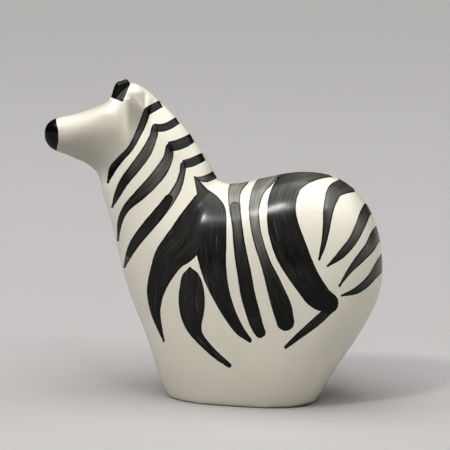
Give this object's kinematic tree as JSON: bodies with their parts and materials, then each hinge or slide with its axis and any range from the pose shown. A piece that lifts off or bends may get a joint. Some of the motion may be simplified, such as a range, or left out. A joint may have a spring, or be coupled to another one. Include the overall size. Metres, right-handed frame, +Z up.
{
  "type": "zebra figurine",
  "caption": "Small legless zebra figurine in glazed ceramic: a rounded body on a flat oval foot, upright neck with a mane ridge, long muzzle and short ears.",
  "frame": {"origin": "centre of the flat underside of the foot", "axes": "+X from the head to the rump, +Y across the body towards its right side, +Z up"},
  "size_m": [0.1619, 0.0572, 0.149],
  "materials": {
    "glaze": "glossy cream-white glaze on a ceramic body, with black stripes, nose and ears brushed on under the gloss"
  },
  "bodies": {
    "root": {"zebra_figurine": "glaze"}
  },
  "joints": []
}
